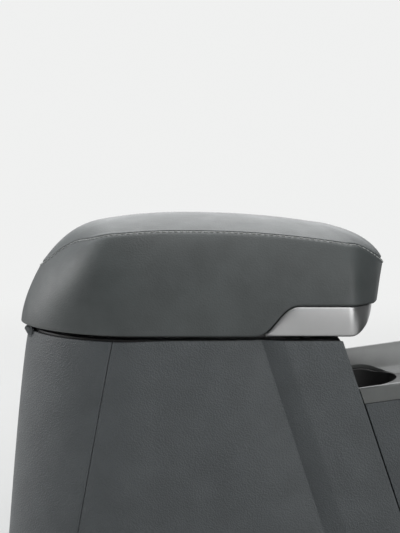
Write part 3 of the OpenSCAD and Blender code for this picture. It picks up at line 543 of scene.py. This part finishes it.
class CONSOLE_OT_stage(bpy.types.Operator):
    """Camera at the photograph's place, plain floor and soft studio light"""
    bl_idname = "console.stage"
    bl_label = "Stage"

    def execute(self, context):
        scene = context.scene
        scene.view_settings.view_transform = "Standard"
        start_clean()
        bpy.ops.object.camera_add(location=(LID_X * MM, -1.105, 0.4196),
                                  rotation=(math.radians(90 - 5.77), 0, 0))
        camera = named("camera")
        camera.data.sensor_fit = "AUTO"
        camera.data.sensor_width = 36
        camera.data.lens = 75.04
        scene.camera = camera

        start_clean()
        bpy.ops.mesh.primitive_circle_add(vertices=96, radius=4.0, fill_type="TRIFAN", location=(0, 0, 0))
        floor = named("floor")
        floor.data.materials.append(self.floor_material())

        self.lamp("top softbox", (-0.1, 0.55, 1.9), (0, 0.3, 0.25), 1.7, 24)
        self.lamp("back softbox", (-0.15, 2.5, 1.15), (-0.1, 0, 0.33), 2.0, 22)
        self.lamp("left softbox", (-2.0, 0.5, 0.8), (0, 0, 0.25), 1.1, 15)
        self.lamp("right front softbox", (1.15, -2.0, 0.95), (0, 0, 0.2), 2.0, 26)
        self.lamp("upper front softbox", (-0.15, -1.0, 1.9), (-0.05, 0, 0.3), 1.2, 7)
        self.world(scene)
        return {"FINISHED"}

    def lamp(self, name, place, aim, size, power):
        start_clean()
        turn = (Vector(aim) - Vector(place)).to_track_quat("-Z", "Y").to_euler()
        bpy.ops.object.light_add(type="AREA", location=place, rotation=turn)
        lamp = named(name)
        lamp.data.shape = "SQUARE"
        lamp.data.size = size
        lamp.data.energy = power
        lamp.visible_camera = False

    def floor_material(self):
        m, nt, bsdf, at = node_tree("pale floor")
        bsdf.inputs["Base Color"].default_value = (0.6, 0.6, 0.595, 1)
        bsdf.inputs["Roughness"].default_value = 0.9
        bsdf.inputs["Specular IOR Level"].default_value = 0.1
        glow = nt.nodes.new("ShaderNodeEmission")
        glow.inputs[0].default_value = (0.87, 0.875, 0.87, 1)
        mixer = nt.nodes.new("ShaderNodeMixShader")
        length = nt.nodes.new("ShaderNodeVectorMath")
        length.operation = "LENGTH"
        nt.links.new(at, length.inputs[0])
        far = nt.nodes.new("ShaderNodeMapRange")
        far.interpolation_type = "SMOOTHSTEP"
        far.inputs["From Min"].default_value = 0.6
        far.inputs["From Max"].default_value = 2.2
        nt.links.new(length.outputs["Value"], far.inputs["Value"])
        rays = nt.nodes.new("ShaderNodeLightPath")
        nt.links.new(math_node(nt, "MULTIPLY", far.outputs[0], rays.outputs["Is Camera Ray"]), mixer.inputs[0])
        nt.links.new(bsdf.outputs[0], mixer.inputs[1])
        nt.links.new(glow.outputs[0], mixer.inputs[2])
        out = [n for n in nt.nodes if n.type == "OUTPUT_MATERIAL"][0]
        nt.links.new(mixer.outputs[0], out.inputs[0])
        return m

    def world(self, scene):
        world = scene.world or bpy.data.worlds.new("studio")
        scene.world = world
        world.use_nodes = True
        nt = world.node_tree
        nt.nodes.clear()
        out = nt.nodes.new("ShaderNodeOutputWorld")
        seen = nt.nodes.new("ShaderNodeBackground")
        seen.inputs[0].default_value = (0.87, 0.875, 0.87, 1)
        room = nt.nodes.new("ShaderNodeBackground")
        room.inputs[0].default_value = (0.95, 0.98, 1.0, 1)
        way = nt.nodes.new("ShaderNodeTexCoord")
        parts = nt.nodes.new("ShaderNodeSeparateXYZ")
        nt.links.new(way.outputs["Generated"], parts.inputs[0])
        behind = nt.nodes.new("ShaderNodeMapRange")
        behind.interpolation_type = "SMOOTHSTEP"
        behind.inputs["From Min"].default_value = -0.2
        behind.inputs["From Max"].default_value = 0.75
        behind.inputs["To Min"].default_value = 0.24
        behind.inputs["To Max"].default_value = 0.95
        nt.links.new(parts.outputs[1], behind.inputs["Value"])
        above = nt.nodes.new("ShaderNodeMapRange")
        above.interpolation_type = "SMOOTHSTEP"
        above.inputs["From Min"].default_value = 0.0
        above.inputs["From Max"].default_value = 0.35
        above.inputs["To Min"].default_value = 0.35
        above.inputs["To Max"].default_value = 1.0
        nt.links.new(parts.outputs[2], above.inputs["Value"])
        right = nt.nodes.new("ShaderNodeMapRange")
        right.interpolation_type = "SMOOTHSTEP"
        right.inputs["From Min"].default_value = 0.15
        right.inputs["From Max"].default_value = 0.75
        right.inputs["To Min"].default_value = 1.0
        right.inputs["To Max"].default_value = 0.3
        nt.links.new(parts.outputs[0], right.inputs["Value"])
        glow = math_node(nt, "MULTIPLY", behind.outputs[0], above.outputs[0])
        nt.links.new(math_node(nt, "MULTIPLY", glow, right.outputs[0]), room.inputs[1])
        mixer = nt.nodes.new("ShaderNodeMixShader")
        rays = nt.nodes.new("ShaderNodeLightPath")
        look_at = nt.nodes.new("ShaderNodeMath")
        look_at.operation = "MAXIMUM"
        nt.links.new(rays.outputs["Is Camera Ray"], look_at.inputs[0])
        nt.links.new(rays.outputs["Is Transmission Ray"], look_at.inputs[1])
        nt.links.new(look_at.outputs[0], mixer.inputs[0])
        nt.links.new(room.outputs[0], mixer.inputs[1])
        nt.links.new(seen.outputs[0], mixer.inputs[2])
        nt.links.new(mixer.outputs[0], out.inputs[0])


# ---------------------------------------------------------------- body

class CONSOLE_OT_body_panels(bpy.types.Operator):
    """Rear cover, side panels with their pressed fold, skirts and front cover"""
    bl_idname = "console.body_panels"
    bl_label = "Body panels"

    def panel(self, side):
        def place(u, v):
            z = v * RIM_H
            if u < 0.3:
                at = nose_wall(mix(part_at(z), 1.0, u / 0.3), z, 0)
            else:
                s = (u - 0.3) / 0.7
                x0 = NOSE_X
                x1 = 130.5 + 0.34 * (RIM_H - z)
                f0 = FOLD_X + FOLD_SLOPE * (RIM_H - z)
                knots = ((0, x0), (0.3, f0 - 55), (0.42, f0 - 14), (0.5, f0), (0.75, f0 + 22), (1.0, x1))
                x = spread(s, knots)
                at = Vector((x, fold(x, z) - half_width(z), z))
            at[1] *= side
            at[2] -= sag(at[0], z)
            return body_world(at)
        hand = "right" if side > 0 else "left"
        piece = sheet_piece("side_moulding_" + hand, 150, 40, place)
        face_away(piece, Vector((0, -side, 0)))
        thicken(piece, WALL - 1)
        bevel(piece, 0.7, 2, 50)
        smooth(piece, 24)
        piece.data.materials.append(material("body"))
        put(piece, "console", "grained_grey", "side_panel_" + hand)

    def execute(self, context):
        self.panel(1)
        self.panel(-1)

        def rear(u, v):
            z = v * RIM_H
            s = 2 * u - 1
            at = nose_wall(abs(s) * (part_at(z) - 0.002), z, 0)
            if s < 0:
                at[1] = -at[1]
            low = RIM_H - 4.4
            gap = 34.0
            at[2] = low if z > low and abs(at[1]) < gap else z - sag(at[0], z)
            return body_world(at)

        def lip(u, v):
            z = RIM_H - mix(4.0, 0.3, v)
            s = (2 * u - 1) * 0.245
            at = nose_wall(abs(s), z, 0)
            if s < 0:
                at[1] = -at[1]
            return body_world(at)
        shroud = sheet_piece("hinge_lip", 24, 4, lip)
        face_away(shroud, Vector((-1, 0, 0)))
        thicken(shroud, 0.5, even=False)
        piece = sheet_piece("rear_cover_panel", 90, 52, rear)
        edit_mesh(piece, lambda: bpy.ops.mesh.remove_doubles(threshold=0.00005),
                  lambda: bpy.ops.mesh.dissolve_degenerate(threshold=0.00002))
        face_away(piece, Vector((-1, 0, 0)))
        thicken(piece, WALL)
        bevel(piece, 0.7, 2, 50)
        pick(piece, shroud)
        bpy.ops.object.join()
        smooth(piece, 40)
        piece.data.materials.append(material("body"))
        put(piece, "console", "grained_grey", "rear_cover")

        top = crest_at(FRONT_X - FRONT_R) - RAIL_SIDE / math.cos(PITCH) - 0.4
        x0 = FRONT_X - FRONT_R + PART_GAP / 2

        def front(u, v):
            z = v * top
            r = FRONT_R
            if u < 0.25 or u > 0.75:
                b = math.radians(mix(-90, 0, u / 0.25 if u < 0.25 else (1 - u) / 0.25))
                at = Vector((x0 + (r - 0.4) * math.cos(b), r - half_width(z) + r * math.sin(b), z))
                if u > 0.75:
                    at[1] = -at[1]
            else:
                y = half_width(z) - r
                at = Vector((x0 + r - 0.4, mix(-y, y, (u - 0.25) * 2), z))
            return body_world(at)
        piece = sheet_piece("front_cover_panel", 64, 20, front)
        face_away(piece, Vector((1, 0, 0)))
        thicken(piece, WALL)
        bevel(piece, 0.7, 2, 50)
        smooth(piece, 40)
        piece.data.materials.append(material("body"))
        put(piece, "console", "grained_grey", "front_cover")

        for side in ("right", "left"):
            skirt = softened("deck_skirt_" + side, "skirt_" + side, material("body"), 0.7, 2)
            put(skirt, "console", "grained_grey", "deck_skirt_" + side)
        return {"FINISHED"}


def face_away(piece, towards):
    """Makes an open sheet's faces look the given way."""
    total = sum((f.normal.dot(towards) * f.area for f in piece.data.polygons))
    if total < 0:
        edit_mesh(piece, lambda: bpy.ops.mesh.flip_normals())


class CONSOLE_OT_deck(bpy.types.Operator):
    """Deck moulding with its rails, black insert with the cup wells and tray, and their mats"""
    bl_idname = "console.deck"
    bl_label = "Deck"

    def execute(self, context):
        deck = softened("deck_frame", "deck_moulding", material("deck"), 1.2, 3, 28)
        for v in deck.data.vertices:
            if v.co[2] > (RIM_H - 4) * MM:
                v.co[2] = (RIM_H - 4) * MM
        put(deck, "console", "satin_grey", "deck_frame")
        insert = softened("cup_tray", "cup_and_tray_insert", material("black"), 0.5, 2)
        put(insert, "console", "black_plastic", "cup_tray")
        for node in ("cup_mats", "tray_mat", "bin_mat"):
            mat = softened(node, node + "_soft", material("rubber"), 0.4, 2)
            put(mat, "console", "rubber", node)
        return {"FINISHED"}


class CONSOLE_OT_storage(bpy.types.Operator):
    """Storage bin, its surround, the bumpers and the carrier inside the body"""
    bl_idname = "console.storage"
    bl_label = "Storage bin"

    def extend_lip(self, rim):
        """Brings the rim's front lip forward over the deck's upstand."""
        for v in rim.data.vertices:
            if v.co[0] > (LID_X + UPSTAND_X - 1) * MM:
                v.co[0] += LIP_REACH * MM

    def execute(self, context):
        for node, name, width in (("storage_bin", "bin_moulding", 0.6),
                                  ("bin_surround", "bin_rim", 0.5), ("carrier", "inner_carrier", 0.5)):
            piece = softened(node, name, material("black"), width)
            if node == "bin_surround":
                self.extend_lip(piece)
            put(piece, "console", "black_plastic", node)
        bumpers = softened("lid_bumpers", "rubber_bumpers", material("rubber"), 0.6)
        put(bumpers, "console", "rubber", "lid_bumpers")
        return {"FINISHED"}


class CONSOLE_OT_hinge_and_latch(bpy.types.Operator):
    """Hinge, latch, catch wire, screws and the lid's inner shell"""
    bl_idname = "console.hinge_and_latch"
    bl_label = "Hinge and latch"

    def execute(self, context):
        # The hinge plates take the grey paint that is lightened to make up for the lid's shade, painted light on top
        # of the paint's own grey.
        for node, body in (("hinge_bracket", "console"), ("hinge_leaf", "lid")):
            plate = softened(node, node + "_plate", material("shade-lightened steel"), 0.3)
            for v in plate.data.vertices:
                if v.co[2] < (RIM_H - 4) * MM:
                    v.co[0] = max(v.co[0], (LID_X + HINGE_X) * MM)
            put(plate, body, "steel", node)
        for node in ("hinge_screws", "hinge_pin", "panel_screws", "liner_screws", "latch_pin",
                     "latch_spring", "catch_spring"):
            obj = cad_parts[node]
            obj.data.materials.clear()
            # The hinge pin takes the same grey, lightened against the lid's shade; screws and springs stay plain
            # steel.
            obj.data.materials.append(material("shade-lightened steel" if node == "hinge_pin" else "steel"))
        for node in ("lid_pan", "lid_liner"):
            put(softened(node, node + "_shell", material("black"), 0.5), "lid", "black_plastic", node)
        put(softened("latch_paddle", "paddle", material("black"), 0.6), "latch", "black_plastic", "latch_paddle")
        return {"FINISHED"}


# ---------------------------------------------------------------- lid

class CONSOLE_OT_silver_trim(bpy.types.Operator):
    """Silver trim round the lower front of the lid"""
    bl_idname = "console.silver_trim"
    bl_label = "Silver trim"

    def execute(self, context):
        start = next(i / 2000 * 4.4 for i in range(2001) if edge(i / 2000 * 4.4)[0] > TRIM_START + 2)
        knots = ((0.0, start), (0.38, 2.0), (0.44, 2.4), (0.7, 3.4), (1.0, 4.4))
        roll = 1.7

        def place(u, v):
            p = spread(u, knots)
            top = hem_z(edge(p)[0]) - 0.3
            low = 0.3 + 8 * ease((p - 2.5) / 1.0)
            r = min(roll, (top - low) / 2.2)
            if v < 0.2:
                a = v / 0.2 * math.pi / 2
                z, g = low + r * (1 - math.cos(a)), r * (1 - math.sin(a))
            elif v > 0.8:
                a = (v - 0.8) / 0.2 * math.pi / 2
                z, g = top - r + r * math.sin(a), r * (1 - math.cos(a))
            else:
                z, g = mix(low + r, top - r, (v - 0.2) / 0.6), 0.0
            h = knee_height(p)
            inset = 0.8 + 4 * front_part(p)
            crown = 1.9 * (2 * v - 1) ** 2 - 0.7
            at = lid_point(p, z / h, inset + g + crown)
            at[2] = z
            return lid_world(at)
        piece = sheet_piece("silver_front_trim", 130, 26, place)
        face_away(piece, Vector((0, -1, 0)))
        mirrored(piece)
        thicken(piece, 1.2, even=False)
        smooth(piece, 50)
        piece.data.materials.append(material("silver"))
        put(piece, "lid", "silver_trim", "front_trim")
        return {"FINISHED"}


class CONSOLE_OT_leather_lid(bpy.types.Operator):
    """Padded leather lid: a top cover and a side band that meet in a rolled seam, with topstitching"""
    bl_idname = "console.leather_lid"
    bl_label = "Leather lid"

    def rolled(self, d):
        """How far the leather turns in at distance d, in millimetres, from its edge."""
        r = look().seam_roll / MM
        return 0.0 if d >= r else r - math.sqrt(max(0.0, r * r - (r - d) ** 2))

    def top_cover(self):
        def place(u, v):
            p = spread(u, ROUND_LID)
            low = seam_t(p)
            w = v * v * 0.35 + v * 0.65
            t = mix(low, 2.0, w)
            d = (lid_point(p, t) - lid_point(p, low)).length
            return lid_world(lid_point(p, t, self.rolled(d) * 1.2))
        piece = sheet_piece("leather_top", 150, 64, place)
        face_away(piece, Vector((0, 0, 1)))
        mirrored(piece, 0.0003)
        self.relax(piece, 24, 5)
        return piece

    def hem_drop(self, p):
        """How far the leather's hem comes down over the trim in the middle of the front."""
        return 3 * ease((p - 2.9) / 1.1)

    def side_band(self):
        def place(u, v):
            p = spread(u, ROUND_LID)
            low = (max(0.4, hem_z(edge(p)[0]) + 0.5) - self.hem_drop(p)) / knee_height(p)
            high = seam_t(p)
            w = 0.5 - 0.5 * math.cos(math.pi * v)
            t = mix(low, high, mix(w, v, 0.4))
            at = lid_point(p, t)
            d = min((at - lid_point(p, high)).length, (at - lid_point(p, low)).length)
            return lid_world(lid_point(p, t, self.rolled(d) * 1.2))
        piece = sheet_piece("leather_side_band", 170, 46, place)
        face_away(piece, Vector((0, -1, 0)))
        mirrored(piece, 0.0003)
        self.relax(piece, 8, 3)
        return piece

    def relax(self, piece, times, keep):
        """Evens out the leather away from its edges."""
        group = piece.vertex_groups.new(name="free leather")
        bm = bmesh.new()
        bm.from_mesh(piece.data)
        bm.verts.ensure_lookup_table()
        ring = {v.index for e in bm.edges if e.is_boundary for v in e.verts}
        for step in range(keep):
            ring |= {e.other_vert(bm.verts[i]).index for i in ring for e in bm.verts[i].link_edges}
        free = [v.index for v in bm.verts if v.index not in ring]
        bm.free()
        group.add(free, 1.0, "REPLACE")
        m = piece.modifiers.new("evening", "SMOOTH")
        m.factor = 0.5
        m.iterations = times
        m.vertex_group = group.name
        apply_all(piece)

    def swell(self, piece, pressure):
        """Pads the leather by a short cloth simulation, held along its edges."""
        cap = look().puff
        if cap <= 0:
            return
        rest = [v.co.copy() for v in piece.data.vertices]
        held = piece.vertex_groups.new(name="held edges")
        bm = bmesh.new()
        bm.from_mesh(piece.data)
        rim = {v.index for e in bm.edges if e.is_boundary for v in e.verts}
        ring = set(rim)
        for _ in range(2):
            ring |= {e.other_vert(v).index for v in bm.verts if v.index in ring for e in v.link_edges}
        bm.free()
        held.add(sorted(ring), 1.0, "REPLACE")
        cloth = piece.modifiers.new("padding", "CLOTH")
        s = cloth.settings
        s.quality = 6
        s.mass = 0.3
        s.tension_stiffness = 25
        s.compression_stiffness = 25
        s.shear_stiffness = 15
        s.bending_stiffness = 2
        s.use_pressure = True
        s.uniform_pressure_force = pressure
        s.vertex_group_mass = "held edges"
        s.effector_weights.gravity = 0
        cloth.collision_settings.use_collision = False
        scene = bpy.context.scene
        for f in range(1, look().sim_frames + 1):
            scene.frame_set(f)
        deps = bpy.context.evaluated_depsgraph_get()
        mesh = piece.evaluated_get(deps).to_mesh()
        moved = [v.co.copy() for v in mesh.vertices]
        piece.evaluated_get(deps).to_mesh_clear()
        piece.modifiers.remove(cloth)
        scene.frame_set(1)
        for v, a, b in zip(piece.data.vertices, rest, moved):
            step = b - a
            far = step.length
            v.co = a + step * (min(far, cap * far / (far + cap) * 1.6, cap) / far) if far > 1e-9 else a

    def below_seam(self, p, far):
        """The height t that lies far millimetres under the seam."""
        t = seam_t(p)
        top = lid_point(p, t)
        while (lid_point(p, t) - top).length < far:
            t -= 0.002
        return t

    def stitches(self):
        """One sewn stitch, copied along the lower side of the seam."""
        pitch = look().stitch_pitch
        path = []
        n = 1200
        for i in range(n + 1):
            p = spread(i / n, ROUND_LID)
            path.append(lid_world(lid_point(p, self.below_seam(p, 3.2), -0.25)))
        start_clean()
        bpy.ops.mesh.primitive_uv_sphere_add(segments=8, ring_count=6, radius=1)
        one = named("stitch_form")
        for v in one.data.vertices:
            v.co = Vector((v.co[0] * 0.0020, v.co[1] * 0.0005, v.co[2] * 0.0005))
        spots = []
        gone = 0.0
        nxt = pitch / 2
        for a, b in zip(path, path[1:]):
            step = (b - a).length
            while gone + step > nxt:
                spots.append((a.lerp(b, (nxt - gone) / step), (b - a).normalized()))
                nxt += pitch
            gone += step
        form = one.data
        bm = bmesh.new()
        for at, along in spots:
            for side in (1, -1):
                up = Vector((0, 0.25, 1)).normalized()
                y = up.cross(along).normalized()
                z = along.cross(y)
                base = len(bm.verts)
                new = []
                for v in form.vertices:
                    q = at + along * v.co[0] + y * v.co[1] + z * v.co[2]
                    new.append(bm.verts.new((q[0], q[1] * side, q[2])))
                for f in form.polygons:
                    order = [new[i] for i in f.vertices]
                    bm.faces.new(order if side > 0 else order[::-1])
        data = bpy.data.meshes.new("topstitching")
        bm.to_mesh(data)
        bm.free()
        piece = bpy.data.objects.new("topstitching", data)
        bpy.context.collection.objects.link(piece)
        bpy.data.objects.remove(one)
        smooth(piece, 60)
        piece.data.materials.append(material("thread"))
        put(piece, "lid", "leather")

    def execute(self, context):
        top = self.top_cover()
        band = self.side_band()
        self.swell(top, 3.0)
        self.swell(band, 1.5)
        for piece, nodes in ((top, ("lid_top_cover", "lid_foam")), (band, ("lid_side_band",))):
            thicken(piece, 1.8)
            smooth(piece, 60)
            piece.data.materials.append(material("leather"))
            put(piece, "lid", "leather", *nodes)
        self.stitches()
        return {"FINISHED"}


# ---------------------------------------------------------------- panel and registration

OPERATORS = (CONSOLE_OT_stage, CONSOLE_OT_body_panels, CONSOLE_OT_deck, CONSOLE_OT_storage,
             CONSOLE_OT_hinge_and_latch, CONSOLE_OT_silver_trim, CONSOLE_OT_leather_lid)


class CONSOLE_PT_pieces(bpy.types.Panel):
    """Lists the console's pieces and the settings of its looks."""
    bl_idname = "CONSOLE_PT_pieces"
    bl_label = "Centre console"
    bl_space_type = "VIEW_3D"
    bl_region_type = "UI"
    bl_category = "Console"

    def draw(self, context):
        column = self.layout.column()
        for kind in OPERATORS:
            column.operator(kind.bl_idname)
        for key in ("leather", "stitch", "body", "deck", "black", "silver", "seam_roll", "puff",
                    "stitch_pitch", "sim_frames"):
            column.prop(context.scene.console_look, key)


CLASSES = (ConsoleLook, *OPERATORS, CONSOLE_PT_pieces)


def register():
    for kind in CLASSES:
        bpy.utils.register_class(kind)
    bpy.types.Scene.console_look = PointerProperty(type=ConsoleLook)


def unregister():
    del bpy.types.Scene.console_look
    for kind in reversed(CLASSES):
        bpy.utils.unregister_class(kind)


def main():
    register()
    bpy.ops.console.stage()
    bpy.ops.console.body_panels()
    bpy.ops.console.deck()
    bpy.ops.console.storage()
    bpy.ops.console.hinge_and_latch()
    bpy.ops.console.silver_trim()
    bpy.ops.console.leather_lid()


if __name__ == "__main__":
    main()
